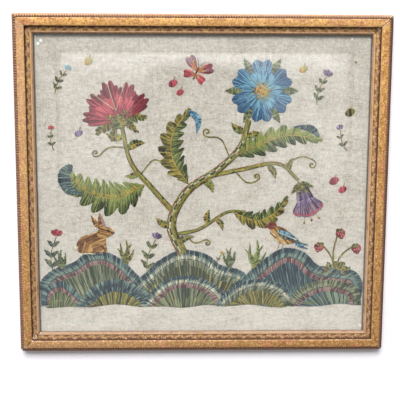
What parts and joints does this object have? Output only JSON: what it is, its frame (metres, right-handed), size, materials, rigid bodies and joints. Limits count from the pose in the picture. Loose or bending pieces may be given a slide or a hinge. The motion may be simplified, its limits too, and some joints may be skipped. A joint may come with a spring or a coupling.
{
  "type": "crewel embroidery panel in a glazed gilt moulded frame",
  "caption": "Almost square embroidered linen panel, held behind glass in a mitred gilt moulding, with a plain backing board.",
  "frame": {"origin": "middle of the back of the frame, on the plane that it lies on", "axes": "+X across the picture to the right, +Y towards the top of the picture, +Z out of its face"},
  "size_m": [0.42, 0.384, 0.018],
  "materials": {
    "gilt_moulding": "worn water-gilt over red-brown clay, dark in the hollows",
    "glazing": "thin flat picture glass with a soft reflection",
    "linen_ground": "plain-woven unbleached linen, lightly puckered, with crewel wool stitching",
    "back_board": "plain thin wooden backing board, finished plainly because it is hidden"
  },
  "bodies": {
    "root": {"rail_top": "gilt_moulding", "rail_bottom": "gilt_moulding", "rail_left": "gilt_moulding", "rail_right": "gilt_moulding", "glass_pane": "glazing", "embroidered_linen": "linen_ground", "backing_board": "back_board"}
  },
  "joints": []
}
